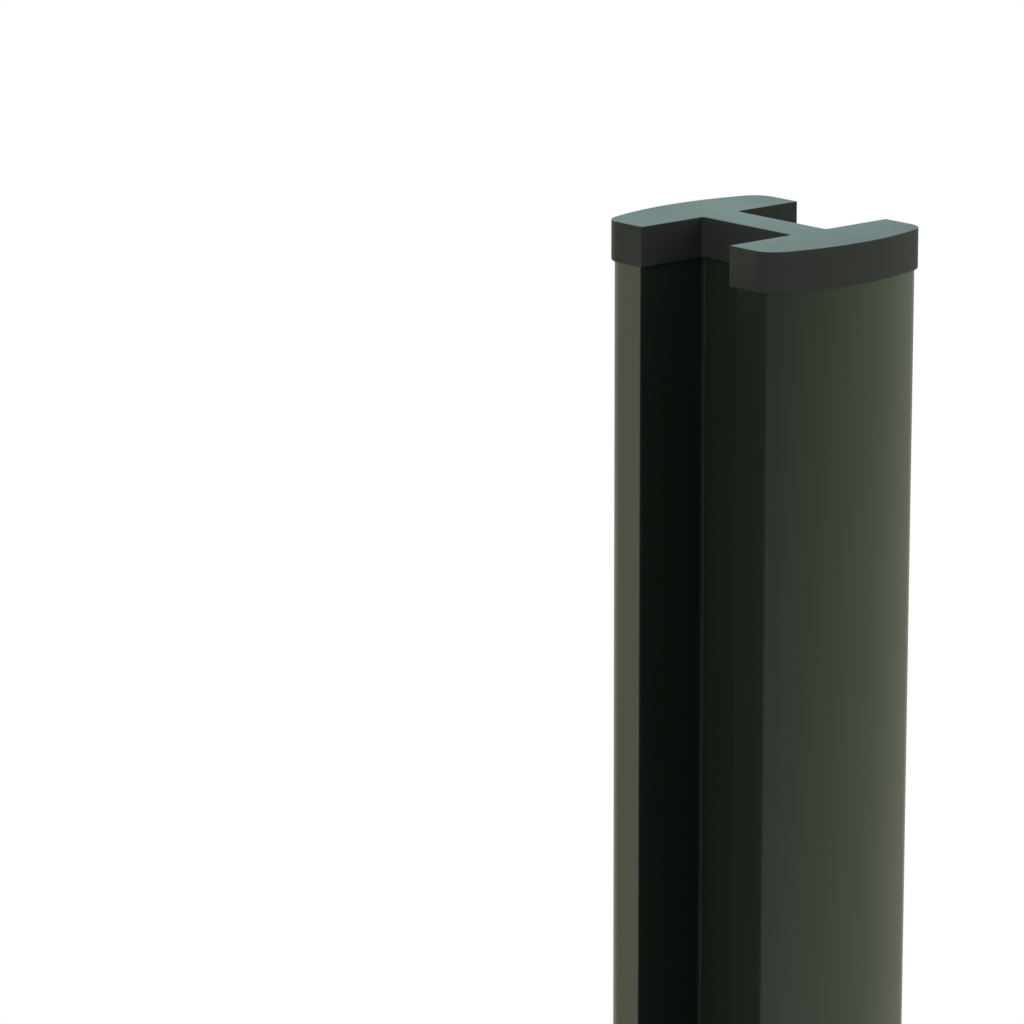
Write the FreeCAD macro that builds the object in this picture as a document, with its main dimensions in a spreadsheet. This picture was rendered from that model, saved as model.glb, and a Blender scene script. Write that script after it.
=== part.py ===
import FreeCAD, Part
import math
import os
import Sketcher

# A metal fence post: an extruded aluminium profile of H section with two hollow, crowned flanges,
# and a moulded cap pushed onto its upper end.
# X points out of one of its two open channels, Y out of one of its crowned faces, and Z up.
# The origin is the middle of the profile's foot.

# Driving dimensions in millimetres.
DRIVING_SIZES = {
    # The extruded profile.
    "post_length": 1500.0,
    "profile_width": 60.5,
    "profile_depth": 80.0,
    "crown_radius": 86.0,
    "channel_gap": 41.2,
    "web_width": 10.6,
    "profile_wall": 1.8,
    "edge_radius": 6.5,
    "lip_radius": 0.5,
    "root_radius": 1.2,
    "chamber_radius": 1.0,
    # The cap's top plate and the skirt that hangs from it round the profile.
    "cap_top": 2.5,
    "skirt_drop": 9.8,
    "skirt_clearance": 0.1,
    "end_wall": 1.25,
    "face_wall": 0.7,
    "channel_wall": 1.55,
    "cap_edge_radius": 7.5,
    "cap_lip_radius": 0.4,
    "cap_root_radius": 1.0,
    "cap_top_radius": 0.25,
    "rim_radius": 0.5,
    # The hollow plugs under the top plate, which grip inside the profile's chambers.
    "plug_depth": 16.0,
    "plug_clearance": 0.4,
    "plug_wall": 1.5,
    "lead_in": 0.8,
    "rib_radius": 0.8,
    "rib_clearance": 0.05,
    "rib_offset": 15.0,
}

SHEET = "sizes"
SAME_PLACE = 1e-4
# A corner inside a flange takes up at most this share of the space's height.
CORNER_SHARE = 0.45


def size(name):
    """The expression that reads one driving size from the sheet."""
    return "%s.%s" % (SHEET, name)


def make_sheet(document):
    """Puts each driving size in a cell of its own, under its name."""
    sheet = document.addObject("Spreadsheet::Sheet", SHEET)
    for row, (name, value) in enumerate(DRIVING_SIZES.items(), start=1):
        sheet.set("A%d" % row, name.replace("_", " "))
        sheet.set("B%d" % row, str(value))
        sheet.setAlias("B%d" % row, name)
    document.recompute()


def number(owner, expression):
    """The present value of an expression."""
    found = owner.evalExpression(expression)
    return float(getattr(found, "Value", found))


def plan_sketch(body, name, height="0"):
    """A sketch parallel to the body's ground plane, at a height given as an expression."""
    sketch = body.newObject("Sketcher::SketchObject", name)
    ground = next(plane for plane in body.Origin.OriginFeatures if plane.Role == "XY_Plane")
    sketch.AttachmentSupport = [(ground, "")]
    sketch.MapMode = "FlatFace"
    sketch.setExpression("AttachmentOffset.Base.z", height)
    return sketch


def bind(sketch, constraint, expression):
    """Adds a dimension to a sketch and ties it to an expression."""
    index = sketch.addConstraint(constraint)
    sketch.setExpression("Constraints[%d]" % index, expression)


def crown_height(x, radius, centre):
    """How far out the crowned side lies at x. A negative centre belongs to the crown on +Y."""
    outward = 1.0 if centre < 0 else -1.0
    return centre + outward * math.sqrt(radius ** 2 - x ** 2)


def draw_outline(sketch, corners, crowns):
    """Draws a closed outline and ties it to its expressions.

    Each corner is a pair of expressions, and its y is None where it lies on a crowned side.
    crowns maps the number of a crowned side to the expressions of its radius and its centre's y.
    The other sides run along X or Y. Gives back where the corners lie, as (x, y).
    """
    count = len(corners)
    arcs = {side: [number(sketch, text) for text in terms] for side, terms in crowns.items()}
    places = []
    for index, (x_text, y_text) in enumerate(corners):
        x = number(sketch, x_text)
        side = index if index in arcs else (index - 1) % count
        y = crown_height(x, *arcs[side]) if y_text is None else number(sketch, y_text)
        places.append(FreeCAD.Vector(x, y, 0))

    first = sketch.GeometryCount
    for side in range(count):
        start, end = places[side], places[(side + 1) % count]
        if side in arcs:
            radius, centre_y = arcs[side]
            centre = FreeCAD.Vector(0, centre_y, 0)
            circle = Part.Circle(centre, FreeCAD.Vector(0, 0, 1), radius)
            angles = [math.atan2(point.y - centre_y, point.x) for point in (start, end)]
            sketch.addGeometry(Part.ArcOfCircle(circle, *angles))
        else:
            sketch.addGeometry(Part.LineSegment(start, end))

    for side in range(count):
        line = first + side
        following = first + (side + 1) % count
        sketch.addConstraint(Sketcher.Constraint("Coincident", line, 2, following, 1))
        if side in arcs:
            radius, centre_y = arcs[side]
            sketch.addConstraint(Sketcher.Constraint("PointOnObject", line, 3, -2))
            bind(sketch, Sketcher.Constraint("Radius", line, radius), crowns[side][0])
            bind(sketch, Sketcher.Constraint("DistanceY", line, 3, centre_y), crowns[side][1])
        elif corners[side][0] == corners[(side + 1) % count][0]:
            sketch.addConstraint(Sketcher.Constraint("Vertical", line))
        else:
            sketch.addConstraint(Sketcher.Constraint("Horizontal", line))

    for index, (x_text, y_text) in enumerate(corners):
        line = first + index
        before_is_crown = (index - 1) % count in arcs
        before_is_upright = not before_is_crown and corners[index - 1][0] == x_text
        if not before_is_upright:
            bind(sketch, Sketcher.Constraint("DistanceX", line, 1, places[index].x), x_text)
        if y_text is not None and (before_is_upright or before_is_crown):
            bind(sketch, Sketcher.Constraint("DistanceY", line, 1, places[index].y), y_text)
    return [(place.x, place.y) for place in places]


def draw_h_section(sketch, end_growth, face_growth, channel_growth):
    """The post's H outline, grown by three expressions: at its ends, its crowns and its channels.

    Gives back the places of its corners: outer ones, channel lips and channel roots.
    """
    end = "(%s / 2 + %s)" % (size("profile_width"), end_growth)
    web = "(%s / 2 + %s)" % (size("web_width"), channel_growth)
    gap = "(%s / 2 - (%s))" % (size("channel_gap"), channel_growth)
    radius = "%s + %s" % (size("crown_radius"), face_growth)
    centre = "(%s / 2 - %s)" % (size("profile_depth"), size("crown_radius"))
    right, left = end, "-" + end
    corners = [
        (right, None), (right, "-" + gap), (web, "-" + gap), (web, gap), (right, gap), (right, None),
        (left, None), (left, gap), ("-" + web, gap), ("-" + web, "-" + gap), (left, "-" + gap),
        (left, None),
    ]
    crowns = {5: (radius, centre), 11: (radius, "-" + centre)}
    places = draw_outline(sketch, corners, crowns)
    outer = [places[index] for index in (0, 5, 6, 11)]
    lips = [places[index] for index in (1, 4, 7, 10)]
    roots = [places[index] for index in (2, 3, 8, 9)]
    return outer, lips, roots


def draw_flange_space(sketch, side, inset):
    """A space inside one flange, its walls an inset (an expression) inside the outer surface.

    side is 1 for the flange on +Y and -1 for the other. Gives back its four corners.
    """
    end = "(%s / 2 - (%s))" % (size("profile_width"), inset)
    inner = "%d * (%s / 2 + %s)" % (side, size("channel_gap"), inset)
    radius = "%s - (%s)" % (size("crown_radius"), inset)
    centre = "%d * (%s / 2 - %s)" % (side, size("profile_depth"), size("crown_radius"))
    near, far = ("-" + end, end) if side > 0 else (end, "-" + end)
    corners = [(near, inner), (far, inner), (far, None), (near, None)]
    return draw_outline(sketch, corners, {2: (radius, centre)})


def flange_space_height(inset):
    """How high a space inside a flange is at its ends, where it is lowest, as an expression."""
    end = "(%s / 2 - (%s))" % (size("profile_width"), inset)
    radius = "(%s - (%s))" % (size("crown_radius"), inset)
    centre = "%s / 2 - %s" % (size("profile_depth"), size("crown_radius"))
    inner = "%s / 2 + %s" % (size("channel_gap"), inset)
    return "(%s + sqrt(%s ^ 2 - %s ^ 2) - (%s))" % (centre, radius, end, inner)


def draw_web_space(sketch, inset, end_inset):
    """A space inside the web, between its two walls. Gives back its four corners."""
    across = "(%s / 2 - (%s))" % (size("web_width"), inset)
    along = "(%s / 2 - (%s))" % (size("channel_gap"), end_inset)
    corners = [
        ("-" + across, "-" + along), (across, "-" + along), (across, along), ("-" + across, along),
    ]
    return draw_outline(sketch, corners, {})


def draw_spaces(sketch, inset, end_inset):
    """Spaces inside both flanges and the web. Those of the flanges stop an inset short all round.

    Gives back the corners that lie under the section's outer edges, and then all the others.
    """
    under_edges = []
    others = draw_web_space(sketch, inset, end_inset)
    for side in (1, -1):
        corners = draw_flange_space(sketch, side, inset)
        others += corners[:2]
        under_edges += corners[2:]
    return under_edges, others


def upright_edges(shape, places):
    """The names of the upright edges that stand on the given places in plan."""
    names = []
    for index, edge in enumerate(shape.Edges, start=1):
        low, high = edge.Vertexes[0].Point, edge.Vertexes[-1].Point
        if math.hypot(low.x - high.x, low.y - high.y) > SAME_PLACE:
            continue
        if any(math.hypot(low.x - x, low.y - y) < SAME_PLACE for x, y in places):
            names.append("Edge%d" % index)
    return names


def level_edges(shape, height):
    """The names of the edges round the outside of the flat faces at one height."""
    names = []
    for face in shape.Faces:
        box = face.BoundBox
        if abs(box.ZMin - height) > SAME_PLACE or abs(box.ZMax - height) > SAME_PLACE:
            continue
        for rim in face.OuterWire.Edges:
            for index, edge in enumerate(shape.Edges, start=1):
                if edge.isSame(rim):
                    names.append("Edge%d" % index)
    return names


def dress(body, kind, name, edges, reach):
    """Adds a Fillet or a Chamfer of an expression's size to edges of the body's last feature."""
    base = body.Tip
    feature = body.newObject("PartDesign::" + kind, name)
    feature.Base = (base, edges)
    feature.setExpression("Radius" if kind == "Fillet" else "Size", reach)
    feature.Visibility = False
    body.Document.recompute()
    return feature


def round_corners(body, name, places, radius):
    """Rounds the upright edges that stand on the given places."""
    return dress(body, "Fillet", name, upright_edges(body.Tip.Shape, places), radius)


def round_section(body, name, corners, sizes=""):
    """Rounds the corners from draw_h_section: its outer edges, channel lips and channel roots.

    sizes is how the names of the three radii begin.
    """
    for kind, places in zip(("edge", "lip", "root"), corners):
        radius = size("%s%s_radius" % (sizes, kind))
        round_corners(body, "%s_%ss" % (name, kind), places, radius)


def round_spaces(body, name, corners, inset):
    """Rounds the corners from draw_spaces. Those under outer edges leave the wall even there."""
    under_edges, others = corners
    limit = "%s * %s" % (CORNER_SHARE, flange_space_height(inset))
    outer = "min(%s - (%s); %s)" % (size("edge_radius"), inset, limit)
    inner = "min(%s; %s)" % (size("chamber_radius"), limit)
    round_corners(body, name + "_outer_corners", under_edges, outer)
    round_corners(body, name + "_inner_corners", others, inner)


def extrude(body, kind, name, sketch, length, downwards):
    """Adds a Pad or a Pocket of an expression's length, up or down from its sketch."""
    feature = body.newObject("PartDesign::" + kind, name)
    feature.Profile = sketch
    feature.setExpression("Length", length)
    feature.Reversed = downwards if kind == "Pad" else not downwards
    body.Document.recompute()
    return feature


def make_profile(document):
    """The extruded profile: one section with a chamber in each flange and one in the web."""
    body = document.addObject("PartDesign::Body", "post_profile")
    body.Label = "post_profile"
    section = plan_sketch(body, "profile_section")
    section_corners = draw_h_section(section, "0", "0", "0")
    chambers = draw_spaces(section, size("profile_wall"), "0")
    document.recompute()
    extrude(body, "Pad", "extrusion", section, size("post_length"), False)
    round_spaces(body, "chamber", chambers, size("profile_wall"))
    round_section(body, "profile", section_corners)
    return body


def add_skirted_top(document, body):
    """The cap's top plate with the skirt that hangs round the profile and inside its channels."""
    clearance = size("skirt_clearance")
    walls = [size(wall) + " + " + clearance for wall in ("end_wall", "face_wall", "channel_wall")]
    outside = plan_sketch(body, "cap_outline", "-" + size("skirt_drop"))
    outside_corners = draw_h_section(outside, *walls)
    inside = plan_sketch(body, "skirt_inside", "-" + size("skirt_drop"))
    inside_corners = draw_h_section(inside, clearance, clearance, clearance)
    document.recompute()
    height = size("skirt_drop") + " + " + size("cap_top")
    extrude(body, "Pad", "cap_block", outside, height, False)
    extrude(body, "Pocket", "skirt_hollow", inside, size("skirt_drop"), False)
    # The hollow is rounded first, because its sharp corners would reach past the rounded outside.
    round_section(body, "hollow", inside_corners)
    round_section(body, "cap", outside_corners, "cap_")


def add_plugs(document, body):
    """Three hollow plugs under the top plate, one for each chamber of the profile."""
    clearance, wall = size("plug_clearance"), size("plug_wall")
    outer_inset = size("profile_wall") + " + " + clearance
    inner_inset = outer_inset + " + " + wall
    plan = plan_sketch(body, "plug_plan")
    outsides = draw_spaces(plan, outer_inset, clearance)
    hollows = draw_spaces(plan, inner_inset, clearance + " + " + wall)
    document.recompute()
    extrude(body, "Pad", "plugs", plan, size("plug_depth"), True)
    round_spaces(body, "plug_hollow", hollows, inner_inset)
    round_spaces(body, "plug", outsides, outer_inset)
    tips = level_edges(body.Tip.Shape, -number(body, size("plug_depth")))
    dress(body, "Chamfer", "plug_lead_in", tips, size("lead_in"))


def add_grip_ribs(document, body):
    """Half-round upright ribs on the plugs, which all but touch the walls of the chambers."""
    reach = "%s + %s" % (size("rib_clearance"), size("rib_radius"))
    wall = size("profile_wall")
    apart = size("rib_offset")
    flange_inner = "(%s / 2 + %s + %s)" % (size("channel_gap"), wall, reach)
    flange_outer = "(%s / 2 - %s - (%s))" % (size("profile_depth"), wall, reach)
    web_side = "(%s / 2 - %s - (%s))" % (size("web_width"), wall, reach)
    centres = []
    for sign in ("", "-"):
        centres.append(("0", sign + flange_outer))
        for other in ("", "-"):
            centres.append((other + apart, sign + flange_inner))
            centres.append((sign + web_side, other + apart))
    plan = plan_sketch(body, "rib_plan")
    for x_text, y_text in centres:
        x, y = number(plan, x_text), number(plan, y_text)
        circle = Part.Circle(FreeCAD.Vector(x, y, 0), FreeCAD.Vector(0, 0, 1),
                             number(plan, size("rib_radius")))
        rib = plan.addGeometry(circle)
        bind(plan, Sketcher.Constraint("Radius", rib, circle.Radius), size("rib_radius"))
        if x_text == "0":
            plan.addConstraint(Sketcher.Constraint("PointOnObject", rib, 3, -2))
        else:
            bind(plan, Sketcher.Constraint("DistanceX", rib, 3, x), x_text)
        bind(plan, Sketcher.Constraint("DistanceY", rib, 3, y), y_text)
    document.recompute()
    length = size("plug_depth") + " - 2 * " + size("lead_in")
    extrude(body, "Pad", "grip_ribs", plan, length, True)


def make_cap(document):
    """The moulded cap. Its own ground plane is its seat, which rests on the profile's upper end."""
    body = document.addObject("PartDesign::Body", "post_cap")
    body.Label = "post_cap"
    add_skirted_top(document, body)
    rim = level_edges(body.Tip.Shape, -number(body, size("skirt_drop")))
    dress(body, "Fillet", "skirt_rim", rim, size("rim_radius"))
    top = level_edges(body.Tip.Shape, number(body, size("cap_top")))
    dress(body, "Fillet", "top_edge", top, size("cap_top_radius"))
    add_plugs(document, body)
    add_grip_ribs(document, body)
    body.setExpression("Placement.Base.z", size("post_length"))
    document.recompute()
    return body


def check(document, parts):
    """Stops unless every object was built, every sketch is fixed and every part is one sound solid."""
    for thing in document.Objects:
        if "Invalid" in thing.State or "Error" in thing.State:
            raise RuntimeError("%s was not built" % thing.Name)
        if thing.TypeId == "Sketcher::SketchObject" and not thing.FullyConstrained:
            raise RuntimeError("%s is not fully constrained" % thing.Name)
    for part in parts:
        shape = part.Shape
        if shape.isNull() or not shape.isValid() or len(shape.Solids) != 1:
            raise RuntimeError("%s is not one sound solid" % part.Label)


def main():
    document = FreeCAD.newDocument("fence_post")
    make_sheet(document)
    parts = [make_profile(document), make_cap(document)]
    check(document, parts)
    os.makedirs("parts", exist_ok=True)
    for part in parts:
        part.Shape.exportStep(os.path.join("parts", part.Label + ".step"))
        box = part.Shape.BoundBox
        print("%s: %.1f mm3, %.2f x %.2f x %.2f mm, from z %.2f" % (
            part.Label, part.Shape.Volume, box.XLength, box.YLength, box.ZLength, box.ZMin))


main()
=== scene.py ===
"""The looks of a metal fence post: a powder-coated aluminium profile of H section and its moulded cap.

Everything is in metres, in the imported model's frame: X points out of one of the two open channels,
Y out of one of the crowned faces, and Z up.
"""
import math

import bpy
import numpy as np
from mathutils import Matrix, Vector
from mathutils.geometry import tessellate_polygon


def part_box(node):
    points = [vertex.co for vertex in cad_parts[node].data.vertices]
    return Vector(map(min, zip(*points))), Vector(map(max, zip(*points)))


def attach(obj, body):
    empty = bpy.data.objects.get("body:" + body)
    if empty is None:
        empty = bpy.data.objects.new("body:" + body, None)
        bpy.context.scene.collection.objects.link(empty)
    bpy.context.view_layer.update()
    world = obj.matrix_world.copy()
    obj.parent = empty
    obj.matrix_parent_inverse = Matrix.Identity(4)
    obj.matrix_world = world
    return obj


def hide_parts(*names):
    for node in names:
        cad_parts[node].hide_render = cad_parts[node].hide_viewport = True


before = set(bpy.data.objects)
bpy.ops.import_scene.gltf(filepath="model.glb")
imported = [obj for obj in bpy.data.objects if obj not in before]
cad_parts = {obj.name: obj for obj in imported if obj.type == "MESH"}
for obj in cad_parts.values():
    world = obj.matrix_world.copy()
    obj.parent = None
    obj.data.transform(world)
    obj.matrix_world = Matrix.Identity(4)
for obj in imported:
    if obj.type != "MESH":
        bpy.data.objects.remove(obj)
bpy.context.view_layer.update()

MM = 0.001

# The extruded profile's section, as in the construction.
PROFILE_DEPTH = 80.0 * MM
CROWN_RADIUS = 86.0 * MM
CHANNEL_GAP = 41.2 * MM
WEB_WIDTH = 10.6 * MM
PROFILE_WALL = 1.8 * MM
EDGE_RADIUS = 6.5 * MM
LIP_RADIUS = 0.5 * MM
ROOT_RADIUS = 1.2 * MM
CHAMBER_RADIUS = 1.0 * MM

# The cap's walls, roundings and plugs.
CAP_TOP = 2.5 * MM
SKIRT_DROP = 9.8 * MM
SKIRT_CLEARANCE = 0.1 * MM
END_WALL = 1.25 * MM
FACE_WALL = 0.7 * MM
CHANNEL_WALL = 1.55 * MM
CAP_EDGE_RADIUS = 7.5 * MM
CAP_LIP_RADIUS = 0.4 * MM
CAP_ROOT_RADIUS = 1.0 * MM
CAP_TOP_RADIUS = 0.25 * MM
RIM_RADIUS = 0.5 * MM
PLUG_DEPTH = 16.0 * MM
PLUG_CLEARANCE = 0.4 * MM
PLUG_WALL = 1.5 * MM
LEAD_IN = 0.8 * MM
RIB_RADIUS = 0.8 * MM
RIB_CLEARANCE = 0.05 * MM
RIB_OFFSET = 15.0 * MM

# How finely the rounded forms are divided.
CROWN_STEPS = 40
FILLET_STEPS = 8
EDGE_STEPS = 20
RIM_STEPS = 6
RIB_STEPS = 8
RING_SPACING = 25.0 * MM
SHARP_ANGLE = math.radians(35)

# The camera of the photograph, placed from the middle of the cap's top.
CAMERA_OFFSET = Vector((-1.0025, -1.0637, 0.2756))
CAMERA_AZIMUTH = math.radians(40.3747)
CAMERA_DROP = math.radians(13.9769)
CAMERA_ROLL = math.radians(-0.1639)
CAMERA_LENS = 176.64
CAMERA_SENSOR = 36.0

profile_low, profile_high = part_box("post_profile")
cap_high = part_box("post_cap")[1]
# The profile's box gives its foot, its head, which is the cap's seat, and its width.
FOOT = profile_low.z
SEAT = profile_high.z
HALF_WIDTH = profile_high.x
# The crown on +Y is an arc about this Y, which lies on the other side of the middle.
CROWN_CENTRE = PROFILE_DEPTH / 2 - CROWN_RADIUS


# Outlines in plan

def arc(centre, radius, start, end, steps, hollow=False):
    """Points at centre + radius * (cos t, sin t), with t in equal steps from start to end.

    Gives the points and their outward normals, which point at the centre on a hollow arc.
    """
    t = np.linspace(start, end, steps + 1)
    spoke = np.column_stack([np.cos(t), np.sin(t)])
    return np.asarray(centre) + radius * spoke, -spoke if hollow else spoke


def join(*pieces):
    """One run of points and normals out of several."""
    return tuple(np.concatenate(parts) for parts in zip(*pieces))


def mirrored(run, x_sign, y_sign):
    """A run of points and normals mirrored in one axis, which turns its order round, or in both."""
    signs = np.array([x_sign, y_sign])
    step = int(x_sign * y_sign)
    return run[0][::step] * signs, run[1][::step] * signs


def without_end(run):
    """A run of points and normals that stops before its last point."""
    return run[0][:-1], run[1][:-1]


def h_outline(end_growth, face_growth, channel_growth, edge, lip, root):
    """The H outline, anticlockwise: crowned faces, straight ends and two channels with rounded edges.

    One quarter runs from the crown's top to the middle of the web. The outer corner's arc lies inside
    the crown's circle, so its centre is (crown radius - its own radius) away from the crown's centre.
    """
    end = HALF_WIDTH + end_growth
    web = WEB_WIDTH / 2 + channel_growth
    gap = CHANNEL_GAP / 2 - channel_growth
    radius = CROWN_RADIUS + face_growth
    corner_x = end - edge
    corner_y = CROWN_CENTRE + math.sqrt((radius - edge) ** 2 - corner_x ** 2)
    turn = math.atan2(corner_y - CROWN_CENTRE, corner_x)
    middle = np.array([[web, 0.0]]), np.array([[1.0, 0.0]])
    quarter = join(
        without_end(arc((0, CROWN_CENTRE), radius, math.pi / 2, turn, CROWN_STEPS)),
        arc((corner_x, corner_y), edge, turn, 0, EDGE_STEPS),
        arc((end - lip, gap + lip), lip, 0, -math.pi / 2, FILLET_STEPS),
        arc((web + root, gap - root), root, math.pi / 2, math.pi, FILLET_STEPS, hollow=True),
        middle,
    )
    clockwise = join(
        without_end(quarter),
        without_end(mirrored(quarter, 1, -1)),
        without_end(mirrored(quarter, -1, -1)),
        without_end(mirrored(quarter, -1, 1)),
    )
    return clockwise[0][::-1], clockwise[1][::-1]


def rib_bump(x, wall, standing):
    """How far a plug's grip rib stands out of its wall at x from the rib's middle.

    The rib is a circle whose centre lies behind the wall: sqrt(radius^2 - x^2) less that depth.
    """
    depth = RIB_CLEARANCE + RIB_RADIUS - wall
    return standing * np.maximum(np.sqrt(np.maximum(RIB_RADIUS ** 2 - x ** 2, 0)) - depth, 0)


def rib_stations(middle):
    """Where points lie along a wall across one rib, closer together where the rib rises."""
    depth = RIB_CLEARANCE + RIB_RADIUS - PLUG_CLEARANCE
    reach = math.sqrt(RIB_RADIUS ** 2 - depth ** 2)
    return middle + reach * np.sin(np.linspace(-math.pi / 2, math.pi / 2, RIB_STEPS + 1))


def flange_outline(side, inset, ribs=None):
    """The outline of a space in one flange, anticlockwise: a crowned side, two ends, a flat side.

    side is 1 for the flange on +Y. ribs, from 0 to 1, says how far a plug's grip ribs stand out of
    its flat side and of the crown's middle, and None leaves their points out.
    """
    end = HALF_WIDTH - inset
    flat = CHANNEL_GAP / 2 + inset
    radius = CROWN_RADIUS - inset
    edge, corner = EDGE_RADIUS - inset, CHAMBER_RADIUS
    corner_x = end - edge
    corner_y = CROWN_CENTRE + math.sqrt((radius - edge) ** 2 - corner_x ** 2)
    turn = math.atan2(corner_y - CROWN_CENTRE, corner_x)
    crown = arc((0, CROWN_CENTRE), radius, math.pi / 2, turn, CROWN_STEPS)
    flat_x = np.array([0.0])
    if ribs is not None:
        near = rib_stations(0.0)
        near = near[near >= 0]
        angles = math.pi / 2 - near / radius
        spoke = np.column_stack([np.cos(angles), np.sin(angles)])
        reach = radius + rib_bump(near, PLUG_CLEARANCE, ribs)
        first = np.array([0, CROWN_CENTRE]) + spoke * reach[:, None]
        rest = np.linspace(angles[-1], turn, CROWN_STEPS + 1)[1:]
        rest_spoke = np.column_stack([np.cos(rest), np.sin(rest)])
        crown = join((first, spoke), (np.array([0, CROWN_CENTRE]) + radius * rest_spoke, rest_spoke))
        flat_x = np.concatenate([rib_stations(RIB_OFFSET)[::-1], [0.0]])
    drop = 0 if ribs is None else rib_bump(flat_x - RIB_OFFSET, PLUG_CLEARANCE, ribs)
    flat_run = np.column_stack([flat_x, np.full(len(flat_x), flat) - drop])
    half = join(
        without_end(crown),
        arc((corner_x, corner_y), edge, turn, 0, EDGE_STEPS),
        arc((end - corner, flat + corner), corner, 0, -math.pi / 2, FILLET_STEPS),
        (flat_run, np.tile([0.0, -1.0], (len(flat_x), 1))),
    )
    clockwise = join(without_end(half), without_end(mirrored(half, -1, 1)))
    anticlockwise = clockwise[0][::-1], clockwise[1][::-1]
    return anticlockwise if side > 0 else mirrored(anticlockwise, -1, -1)


def web_outline(inset, end_inset, ribs=None):
    """The outline of the space in the web, anticlockwise, with a plug's ribs as in flange_outline."""
    across = WEB_WIDTH / 2 - inset
    along = CHANNEL_GAP / 2 - end_inset
    corner = CHAMBER_RADIUS
    side_y = np.array([0.0]) if ribs is None else np.concatenate([rib_stations(RIB_OFFSET)[::-1], [0.0]])
    bump = 0 if ribs is None else rib_bump(side_y - RIB_OFFSET, PLUG_CLEARANCE, ribs)
    side_run = np.column_stack([np.full(len(side_y), across) + bump, side_y])
    quarter = join(
        (np.array([[0.0, along]]), np.array([[0.0, 1.0]])),
        arc((across - corner, along - corner), corner, math.pi / 2, 0, FILLET_STEPS),
        (side_run, np.tile([1.0, 0.0], (len(side_y), 1))),
    )
    clockwise = join(
        without_end(quarter),
        without_end(mirrored(quarter, 1, -1)),
        without_end(mirrored(quarter, -1, -1)),
        without_end(mirrored(quarter, -1, 1)),
    )
    return clockwise[0][::-1], clockwise[1][::-1]


# Surfaces

class Surface:
    """Gathers rings of points and the faces between them into one mesh."""

    def __init__(self):
        self.points = []
        self.faces = []
        self.finishes = []
        self.count = 0

    def ring(self, plan, height):
        """Adds one level ring of points, given in plan, and gives back their numbers."""
        self.points.append(np.column_stack([plan, np.full(len(plan), height)]))
        numbers = np.arange(self.count, self.count + len(plan))
        self.count += len(plan)
        return numbers

    def walls(self, rings, inwards=False, finish=0):
        """Quads between each ring and the next: point j joins point j + 1 and the ring beyond.

        They face outwards where an anticlockwise ring is followed by a higher one.
        """
        for lower, upper in zip(rings[:-1], rings[1:]):
            quads = np.column_stack([lower, np.roll(lower, -1), np.roll(upper, -1), upper])
            self.faces += (quads[:, ::-1] if inwards else quads).tolist()
            self.finishes += [finish] * len(quads)

    def plate(self, outer, holes=(), upwards=True, finish=0):
        """A flat face that fills an outer ring, less the rings of its holes."""
        points = np.concatenate(self.points)
        loops = [outer, *holes]
        numbers = np.concatenate(loops)
        shape = [[Vector(points[number]) for number in loop] for loop in loops]
        triangles = numbers[np.array(tessellate_polygon(shape))]
        a, b, c = (points[triangles[:, corner]] for corner in range(3))
        rising = np.cross(b - a, c - a)[:, 2] > 0
        turned = rising != upwards
        triangles[turned] = triangles[turned][:, ::-1]
        self.faces += triangles.tolist()
        self.finishes += [finish] * len(triangles)

    def build(self, name, materials):
        """Makes the mesh object, smooth but for its sharp edges, with flat faces shaded flat."""
        mesh = bpy.data.meshes.new(name)
        mesh.from_pydata(np.concatenate(self.points).tolist(), [], self.faces)
        mesh.polygons.foreach_set("use_smooth", np.ones(len(self.faces), bool))
        mesh.polygons.foreach_set("material_index", np.array(self.finishes, np.int32))
        mesh.update()
        mesh.set_sharp_from_angle(angle=SHARP_ANGLE)
        for material in materials:
            mesh.materials.append(material)
        made = bpy.data.objects.new(name, mesh)
        bpy.context.scene.collection.objects.link(made)
        shading = made.modifiers.new("even_shading", "WEIGHTED_NORMAL")
        shading.keep_sharp = True
        shading.weight = 100
        return made


def make_profile(coat, bare):
    """The extrusion: its outline and three chambers carried up from the foot to the head."""
    surface = Surface()
    levels = np.linspace(FOOT, SEAT, round((SEAT - FOOT) / RING_SPACING) + 1)
    outline = h_outline(0, 0, 0, EDGE_RADIUS, LIP_RADIUS, ROOT_RADIUS)[0]
    chambers = [
        flange_outline(1, PROFILE_WALL)[0],
        flange_outline(-1, PROFILE_WALL)[0],
        web_outline(PROFILE_WALL, 0)[0],
    ]
    outer = [surface.ring(outline, level) for level in levels]
    inner = [[surface.ring(chamber, level) for level in levels] for chamber in chambers]
    surface.walls(outer)
    for rings in inner:
        surface.walls(rings, inwards=True, finish=1)
    surface.plate(outer[0], [rings[0] for rings in inner], upwards=False, finish=1)
    surface.plate(outer[-1], [rings[-1] for rings in inner], upwards=True, finish=1)
    return surface.build("coated_profile", [coat, bare])


def add_plug(surface, outer_plan, inner_plan):
    """One hollow plug: ribbed walls down to a chamfered tip, and a hollow back up to the plate.

    outer_plan(ribs) gives the outside with its ribs standing out or not. Gives back the ring at the
    plate, which is a hole in the plate's underside.
    """
    tip = SEAT - PLUG_DEPTH
    rib_end = tip + 2 * LEAD_IN
    ribbed, ribbed_normals = outer_plan(1.0)
    plain, normals = outer_plan(0.0)
    hollow = inner_plan[0]
    root = surface.ring(ribbed, SEAT)
    outside = [
        root,
        surface.ring(ribbed, rib_end),
        surface.ring(plain, rib_end),
        surface.ring(plain, tip + LEAD_IN),
        surface.ring(plain - LEAD_IN * normals, tip),
    ]
    surface.walls(outside, inwards=True)
    mouth = surface.ring(hollow, tip)
    ceiling = surface.ring(hollow, SEAT)
    surface.plate(outside[-1], [mouth], upwards=False)
    surface.walls([mouth, ceiling], inwards=True)
    surface.plate(ceiling, upwards=False)
    return root


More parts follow.
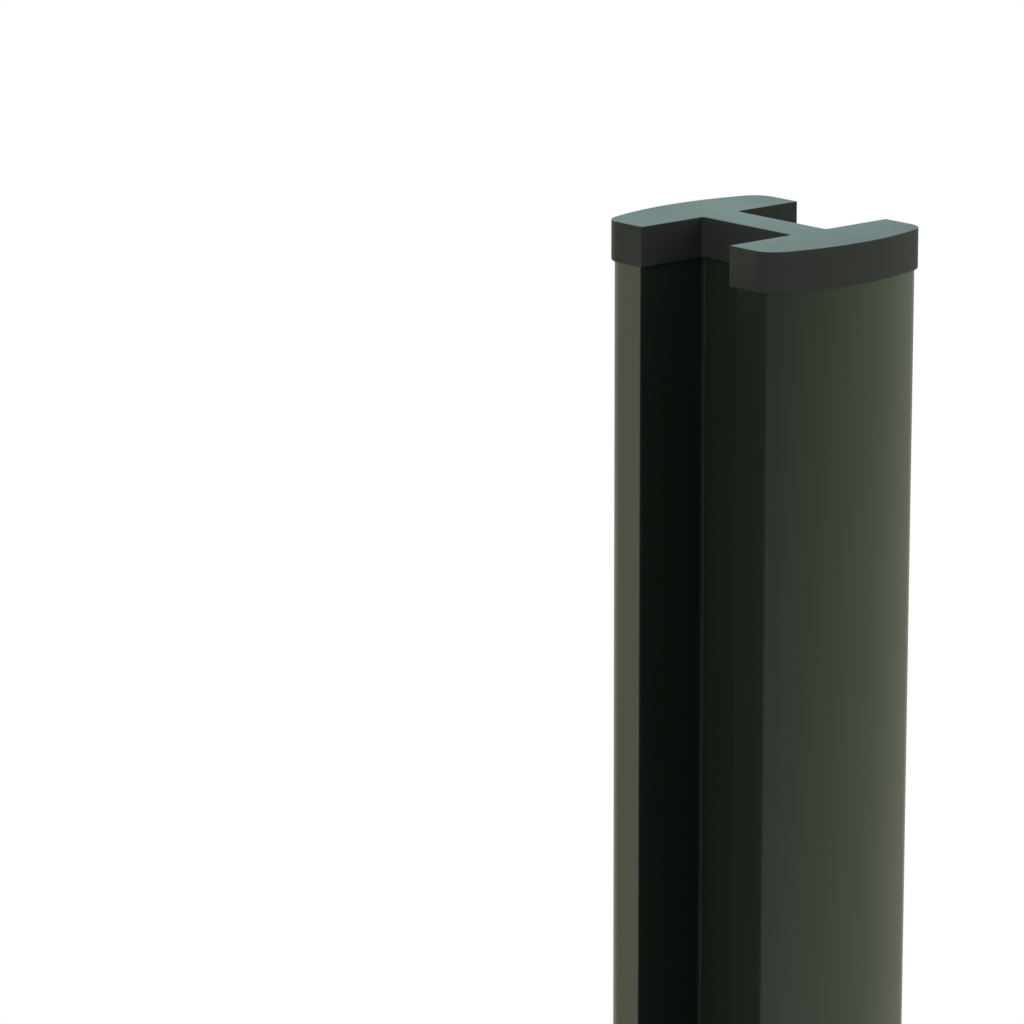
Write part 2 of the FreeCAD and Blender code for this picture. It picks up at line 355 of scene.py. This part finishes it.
def make_cap(plastic):
    """The cap: a skirt with a rounded rim, a flat top with a rounded edge, and three plugs.

    A rounding is the outline moved in by radius * (1 - cos t) while it rises by radius * sin t.
    """
    surface = Surface()
    walls = [wall + SKIRT_CLEARANCE for wall in (END_WALL, FACE_WALL, CHANNEL_WALL)]
    outline, normals = h_outline(*walls, CAP_EDGE_RADIUS, CAP_LIP_RADIUS, CAP_ROOT_RADIUS)
    hollow = h_outline(*[SKIRT_CLEARANCE] * 3, EDGE_RADIUS, LIP_RADIUS, ROOT_RADIUS)[0]
    rim = SEAT - SKIRT_DROP
    top = SEAT + CAP_TOP
    ceiling = surface.ring(hollow, SEAT)
    shell = [ceiling, surface.ring(hollow, rim)]
    for turn in np.linspace(math.pi / 2, 0, RIM_STEPS + 1):
        inset = RIM_RADIUS * (1 - math.cos(turn))
        shell.append(surface.ring(outline - inset * normals, rim + RIM_RADIUS * (1 - math.sin(turn))))
    for turn in np.linspace(0, math.pi / 2, RIM_STEPS + 1):
        inset = CAP_TOP_RADIUS * (1 - math.cos(turn))
        level = top - CAP_TOP_RADIUS * (1 - math.sin(turn))
        shell.append(surface.ring(outline - inset * normals, level))
    surface.walls(shell)
    surface.plate(shell[-1], upwards=True)

    outer_inset = PROFILE_WALL + PLUG_CLEARANCE
    inner_inset = outer_inset + PLUG_WALL
    roots = [
        add_plug(surface, lambda ribs, side=side: flange_outline(side, outer_inset, ribs),
                 flange_outline(side, inner_inset))
        for side in (1, -1)
    ]
    roots.append(add_plug(surface, lambda ribs: web_outline(outer_inset, PLUG_CLEARANCE, ribs),
                          web_outline(inner_inset, PLUG_CLEARANCE + PLUG_WALL)))
    surface.plate(ceiling, roots, upwards=False)
    return surface.build("moulded_cap", [plastic])


# Materials

# How far each fine texture stands out of its surface.
PEEL_HEIGHT = 0.009 * MM
DIE_LINE_HEIGHT = 0.0025 * MM
SAW_MARK_HEIGHT = 0.025 * MM
MOULD_GRAIN_HEIGHT = 0.005 * MM
# Most of a noise's values lie between these two.
NOISE_LOW = 0.3
NOISE_HIGH = 0.7


def new_tree(name):
    """An empty material and its node tree."""
    material = bpy.data.materials.new(name)
    material.use_nodes = True
    material.node_tree.nodes.clear()
    return material, material.node_tree


def add_node(tree, kind, **settings):
    """Adds a node. A setting named after a socket sets that socket, and any other an attribute."""
    made = tree.nodes.new(kind)
    for name, value in settings.items():
        if hasattr(made, name):
            setattr(made, name, value)
        else:
            made.inputs[name.replace("_", " ")].default_value = value
    return made


def make_grain_group():
    """A node group for a fine surface: a grain's height and a slow, cloudy variation, both near 0..1."""
    group = bpy.data.node_groups.new("fine_surface", "ShaderNodeTree")
    group.interface.new_socket("Vector", in_out="INPUT", socket_type="NodeSocketVector")
    for name, value in (("Grain Scale", 500.0), ("Cloud Scale", 8.0)):
        socket = group.interface.new_socket(name, in_out="INPUT", socket_type="NodeSocketFloat")
        socket.default_value = value
    for name in ("Grain", "Cloud"):
        group.interface.new_socket(name, in_out="OUTPUT", socket_type="NodeSocketFloat")
    entry = group.nodes.new("NodeGroupInput")
    leave = group.nodes.new("NodeGroupOutput")
    grain = add_node(group, "ShaderNodeTexNoise", Detail=3.0, Roughness=0.55)
    cloud = add_node(group, "ShaderNodeTexNoise", Detail=2.0, Roughness=0.5)
    for texture, scale, out in ((grain, "Grain Scale", "Grain"), (cloud, "Cloud Scale", "Cloud")):
        group.links.new(entry.outputs["Vector"], texture.inputs["Vector"])
        group.links.new(entry.outputs[scale], texture.inputs["Scale"])
        group.links.new(texture.outputs["Fac"], leave.inputs[out])
    return group


def vary(tree, source, low, high):
    """Maps a noise to the range low..high."""
    spread = add_node(tree, "ShaderNodeMapRange", From_Min=NOISE_LOW, From_Max=NOISE_HIGH,
                      To_Min=low, To_Max=high)
    tree.links.new(source, spread.inputs["Value"])
    return spread.outputs["Result"]


def tone(tree, source, dark, light):
    """Mixes two colours by a noise."""
    mix = add_node(tree, "ShaderNodeMix", data_type="RGBA")
    tree.links.new(vary(tree, source, 0.0, 1.0), mix.inputs["Factor"])
    mix.inputs["A"].default_value = (*dark, 1.0)
    mix.inputs["B"].default_value = (*light, 1.0)
    return mix.outputs["Result"]


def add_bump(tree, height, distance, under=None):
    """Raises the surface by height times distance, on top of another bump's normal."""
    bump = add_node(tree, "ShaderNodeBump", Strength=1.0, Distance=distance)
    tree.links.new(height, bump.inputs["Height"])
    if under is not None:
        tree.links.new(under, bump.inputs["Normal"])
    return bump.outputs["Normal"]


def shade(tree, colour, roughness, normal, metallic=0.0, specular=0.5):
    """The surface's own shader, with its varying colour, roughness and normal linked to it."""
    shader = add_node(tree, "ShaderNodeBsdfPrincipled", Metallic=metallic, Specular_IOR_Level=specular)
    tree.links.new(colour, shader.inputs["Base Color"])
    tree.links.new(roughness, shader.inputs["Roughness"])
    tree.links.new(normal, shader.inputs["Normal"])
    out = add_node(tree, "ShaderNodeOutputMaterial")
    tree.links.new(shader.outputs["BSDF"], out.inputs["Surface"])
    return shader


def fine_surface(tree, group, grain, cloud):
    """Places the grain group on the piece's own coordinates, and gives back the group's node."""
    place = add_node(tree, "ShaderNodeTexCoord")
    node = add_node(tree, "ShaderNodeGroup", node_tree=group, Grain_Scale=grain, Cloud_Scale=cloud)
    tree.links.new(place.outputs["Object"], node.inputs["Vector"])
    return place, node


def powder_coat(group):
    """Satin powder coat: a faint orange peel over the fainter lines of the extrusion beneath it."""
    material, tree = new_tree("powder_coat")
    place, surface = fine_surface(tree, group, grain=420.0, cloud=7.0)
    along = add_node(tree, "ShaderNodeMapping", Scale=(900.0, 900.0, 1.2))
    lines = add_node(tree, "ShaderNodeTexNoise", Scale=1.0, Detail=2.0)
    tree.links.new(place.outputs["Object"], along.inputs["Vector"])
    tree.links.new(along.outputs["Vector"], lines.inputs["Vector"])
    ribs = add_bump(tree, lines.outputs["Fac"], DIE_LINE_HEIGHT)
    peel = add_bump(tree, surface.outputs["Grain"], PEEL_HEIGHT, ribs)
    colour = tone(tree, surface.outputs["Cloud"], (0.0105, 0.0166, 0.0114), (0.0118, 0.0183, 0.0127))
    shade(tree, colour, vary(tree, surface.outputs["Cloud"], 0.21, 0.25), peel)
    return material


def bare_aluminium(group):
    """Uncoated aluminium, as sawn across the ends and as extruded inside the chambers."""
    material, tree = new_tree("bare_aluminium")
    place, surface = fine_surface(tree, group, grain=900.0, cloud=20.0)
    across = add_node(tree, "ShaderNodeMapping", Scale=(60.0, 2200.0, 1.0))
    strokes = add_node(tree, "ShaderNodeTexNoise", Scale=1.0, Detail=3.0)
    tree.links.new(place.outputs["Object"], across.inputs["Vector"])
    tree.links.new(across.outputs["Vector"], strokes.inputs["Vector"])
    cut = add_bump(tree, strokes.outputs["Fac"], SAW_MARK_HEIGHT)
    colour = tone(tree, surface.outputs["Cloud"], (0.52, 0.53, 0.54), (0.62, 0.63, 0.64))
    shade(tree, colour, vary(tree, surface.outputs["Grain"], 0.32, 0.5), cut, metallic=1.0)
    return material


def cap_plastic(group):
    """Moulded plastic with the fine matt texture of its mould."""
    material, tree = new_tree("cap_plastic")
    place, surface = fine_surface(tree, group, grain=1900.0, cloud=25.0)
    texture = add_bump(tree, surface.outputs["Grain"], MOULD_GRAIN_HEIGHT)
    colour = tone(tree, surface.outputs["Cloud"], (0.0225, 0.0233, 0.0208), (0.0245, 0.0253, 0.0228))
    shade(tree, colour, vary(tree, surface.outputs["Cloud"], 0.42, 0.48), texture, specular=0.083)
    return material


# Studio

FLOOR_RADIUS = 2.6
FLOOR_FADE_START = 0.9
FLOOR_STEPS = 96
FLOOR_COLOUR = (0.86, 0.86, 0.86)

# What the surround shows in reflections, level with the object: a colour at each heading, in degrees
# from +X towards +Y. Soft boxes stand on the right and at the back on the left.
SURROUND = (
    (-180, (0.14, 0.22, 0.15)),
    (-150, (0.12, 0.20, 0.12)),
    (-88, (0.03, 0.07, 0.0)),
    (-50, (0.63, 0.71, 0.47)),
    (-22, (0.92, 0.97, 0.72)),
    (-6, (1.10, 1.12, 0.92)),
    (8, (1.00, 1.00, 0.85)),
    (28, (0.27, 0.28, 0.26)),
    (58, (0.22, 0.23, 0.21)),
    (85, (0.85, 0.85, 0.72)),
    (130, (1.22, 1.20, 0.92)),
    (155, (0.90, 0.90, 0.70)),
    (180, (0.14, 0.22, 0.15)),
)
# The cooler light of the box overhead, which takes over between these two heights of the direction.
OVERHEAD = (1.85, 2.62, 2.58)
OVERHEAD_START = 0.02
OVERHEAD_FULL = 0.16
# The glow of the pale floor, which is mixed in as the direction falls between two heights.
GROUND = (1.12, 1.16, 0.85)
GROUND_START = -0.16
GROUND_FULL = -0.42
GROUND_SHARE = 0.75
# What reaches matt surfaces from all round.
FILL_LEVEL = 0.44

# A dark card that only reflections see. It stands upright in the left channel and reaches out of it.
FLAG_NEAR = (-14.0 * MM, 0.0)
FLAG_LENGTH = 1200.0 * MM
FLAG_HEADING = math.radians(-170)
FLAG_TOP = SEAT - 13.0 * MM
FLAG_COLOUR = (0.02, 0.035, 0.025)

# Each lamp's name, place, aim, size and power in watts.
LAMPS = (
    ("key", (2.4, -2.0, 3.0), (0, 0, 1.0), 2.4, 54.0),
    ("front", (0.1, -3.0, 0.7), (0, 0, 1.2), 1.2, 19.0),
    ("left", (-2.8, -0.5, 2.2), (0, 0, 0.9), 2.0, 33.0),
    ("back", (0.4, 3.0, 2.8), (0, 0, 0.9), 2.4, 45.0),
)


def make_floor():
    """A round pale floor, which turns into the white of the surround towards its rim."""
    turns = np.linspace(0, 2 * math.pi, FLOOR_STEPS, endpoint=False)
    plan = FLOOR_RADIUS * np.column_stack([np.cos(turns), np.sin(turns)])
    mesh = bpy.data.meshes.new("floor")
    points = np.column_stack([plan, np.full(FLOOR_STEPS, FOOT)])
    mesh.from_pydata(points.tolist(), [], [list(range(FLOOR_STEPS))])
    floor = bpy.data.objects.new("floor", mesh)
    bpy.context.scene.collection.objects.link(floor)

    material, tree = new_tree("floor_white")
    place = add_node(tree, "ShaderNodeTexCoord")
    distance = add_node(tree, "ShaderNodeVectorMath", operation="LENGTH")
    fade = add_node(tree, "ShaderNodeMapRange", interpolation_type="SMOOTHSTEP",
                    From_Min=FLOOR_FADE_START, From_Max=FLOOR_RADIUS)
    surface = add_node(tree, "ShaderNodeBsdfDiffuse", Color=(*FLOOR_COLOUR, 1.0))
    glow = add_node(tree, "ShaderNodeEmission")
    seen = add_node(tree, "ShaderNodeLightPath")
    shown = add_node(tree, "ShaderNodeMath", operation="MAXIMUM")
    part = add_node(tree, "ShaderNodeMath", operation="MULTIPLY")
    blend = add_node(tree, "ShaderNodeMixShader")
    out = add_node(tree, "ShaderNodeOutputMaterial")
    tree.links.new(place.outputs["Object"], distance.inputs[0])
    tree.links.new(distance.outputs["Value"], fade.inputs["Value"])
    tree.links.new(seen.outputs["Is Camera Ray"], shown.inputs[0])
    tree.links.new(seen.outputs["Is Transmission Ray"], shown.inputs[1])
    tree.links.new(fade.outputs["Result"], part.inputs[0])
    tree.links.new(shown.outputs["Value"], part.inputs[1])
    tree.links.new(part.outputs["Value"], blend.inputs["Fac"])
    tree.links.new(surface.outputs["BSDF"], blend.inputs[1])
    tree.links.new(glow.outputs["Emission"], blend.inputs[2])
    tree.links.new(blend.outputs["Shader"], out.inputs["Surface"])
    mesh.materials.append(material)
    return floor


def make_flag():
    """The dark card: one upright face along its heading, from the foot's level up."""
    far = (FLAG_NEAR[0] + FLAG_LENGTH * math.cos(FLAG_HEADING),
           FLAG_NEAR[1] + FLAG_LENGTH * math.sin(FLAG_HEADING))
    corners = [(*place, level) for place, level in (
        (FLAG_NEAR, FOOT), (far, FOOT), (far, FLAG_TOP), (FLAG_NEAR, FLAG_TOP))]
    mesh = bpy.data.meshes.new("flag")
    mesh.from_pydata(corners, [], [(0, 1, 2, 3)])
    material, tree = new_tree("flag_black")
    surface = add_node(tree, "ShaderNodeBsdfDiffuse", Color=(*FLAG_COLOUR, 1.0))
    out = add_node(tree, "ShaderNodeOutputMaterial")
    tree.links.new(surface.outputs["BSDF"], out.inputs["Surface"])
    mesh.materials.append(material)
    flag = bpy.data.objects.new("flag", mesh)
    bpy.context.scene.collection.objects.link(flag)
    for kind in ("camera", "diffuse", "transmission", "volume_scatter", "shadow"):
        setattr(flag, "visible_" + kind, False)


def make_world():
    """White to the camera, the surround of a studio in reflections, and an even fill besides."""
    world = bpy.data.worlds.new("studio")
    bpy.context.scene.world = world
    world.use_nodes = True
    tree = world.node_tree
    tree.nodes.clear()
    place = add_node(tree, "ShaderNodeTexCoord")
    split = add_node(tree, "ShaderNodeSeparateXYZ")
    heading = add_node(tree, "ShaderNodeMath", operation="ARCTAN2")
    turn = add_node(tree, "ShaderNodeMapRange", From_Min=-math.pi, From_Max=math.pi)
    level_round = add_node(tree, "ShaderNodeValToRGB")
    stops = level_round.color_ramp.elements
    stops[0].color = stops[1].color = (*SURROUND[0][1], 1.0)
    for degrees, colour in SURROUND[1:-1]:
        stops.new((degrees + 180) / 360).color = (*colour, 1.0)
    tree.links.new(place.outputs["Generated"], split.inputs["Vector"])
    tree.links.new(split.outputs["Y"], heading.inputs[0])
    tree.links.new(split.outputs["X"], heading.inputs[1])
    tree.links.new(heading.outputs["Value"], turn.inputs["Value"])
    tree.links.new(turn.outputs["Result"], level_round.inputs["Fac"])
    surround = level_round.outputs["Color"]
    for colour, start, full, share in (
            (GROUND, GROUND_START, GROUND_FULL, GROUND_SHARE),
            (OVERHEAD, OVERHEAD_START, OVERHEAD_FULL, 1.0)):
        height = add_node(tree, "ShaderNodeMapRange", interpolation_type="SMOOTHSTEP",
                          From_Min=start, From_Max=full, To_Max=share)
        both = add_node(tree, "ShaderNodeMix", data_type="RGBA")
        both.inputs["B"].default_value = (*colour, 1.0)
        tree.links.new(split.outputs["Z"], height.inputs["Value"])
        tree.links.new(height.outputs["Result"], both.inputs["Factor"])
        tree.links.new(surround, both.inputs["A"])
        surround = both.outputs["Result"]

    rays = add_node(tree, "ShaderNodeLightPath")
    shown = add_node(tree, "ShaderNodeMath", operation="MAXIMUM")
    tree.links.new(rays.outputs["Is Camera Ray"], shown.inputs[0])
    tree.links.new(rays.outputs["Is Transmission Ray"], shown.inputs[1])
    levels = []
    for level in (FILL_LEVEL, 1.0, 1.0):
        background = add_node(tree, "ShaderNodeBackground", Strength=level)
        background.inputs["Color"].default_value = (1.0, 1.0, 1.0, 1.0)
        levels.append(background)
    fill, reflected, white = levels
    tree.links.new(surround, reflected.inputs["Color"])
    blend = fill
    for choice, other in ((rays.outputs["Is Glossy Ray"], reflected), (shown.outputs["Value"], white)):
        mix = add_node(tree, "ShaderNodeMixShader")
        tree.links.new(choice, mix.inputs["Fac"])
        tree.links.new(blend.outputs[0], mix.inputs[1])
        tree.links.new(other.outputs["Background"], mix.inputs[2])
        blend = mix
    out = add_node(tree, "ShaderNodeOutputWorld")
    tree.links.new(blend.outputs[0], out.inputs["Surface"])


def make_lamp(name, place, aim, size, power):
    """A large square lamp that faces its aim."""
    light = bpy.data.lights.new(name, "AREA")
    light.size = size
    light.energy = power
    lamp = bpy.data.objects.new(name, light)
    lamp.location = place
    lamp.rotation_mode = "QUATERNION"
    lamp.rotation_quaternion = (Vector(aim) - Vector(place)).to_track_quat("-Z", "Y")
    lamp.visible_glossy = False
    bpy.context.scene.collection.objects.link(lamp)


def make_camera():
    """The photograph's camera: its place from the cap's top, its heading and its drop."""
    data = bpy.data.cameras.new("camera")
    data.sensor_width = CAMERA_SENSOR
    data.lens = CAMERA_LENS
    data.clip_start = 0.05
    data.clip_end = 50.0
    camera = bpy.data.objects.new("camera", data)
    camera.location = Vector((0.0, 0.0, cap_high.z)) + CAMERA_OFFSET
    level = math.cos(CAMERA_DROP)
    forward = Vector((
        math.sin(CAMERA_AZIMUTH) * level,
        math.cos(CAMERA_AZIMUTH) * level,
        -math.sin(CAMERA_DROP),
    ))
    level_right = forward.cross(Vector((0, 0, 1))).normalized()
    level_up = level_right.cross(forward)
    right = math.cos(CAMERA_ROLL) * level_right + math.sin(CAMERA_ROLL) * level_up
    up = right.cross(forward)
    camera.rotation_mode = "QUATERNION"
    camera.rotation_quaternion = Matrix((right, up, -forward)).transposed().to_quaternion()
    bpy.context.scene.collection.objects.link(camera)
    bpy.context.scene.camera = camera


grain_group = make_grain_group()
coat = powder_coat(grain_group)
bare = bare_aluminium(grain_group)
plastic = cap_plastic(grain_group)

profile = make_profile(coat, bare)
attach(profile, "root")
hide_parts("post_profile")

cap = make_cap(plastic)
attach(cap, "root")
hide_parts("post_cap")

make_floor()
make_flag()
make_world()
for lamp in LAMPS:
    make_lamp(*lamp)
make_camera()
bpy.context.scene.view_settings.view_transform = "Standard"
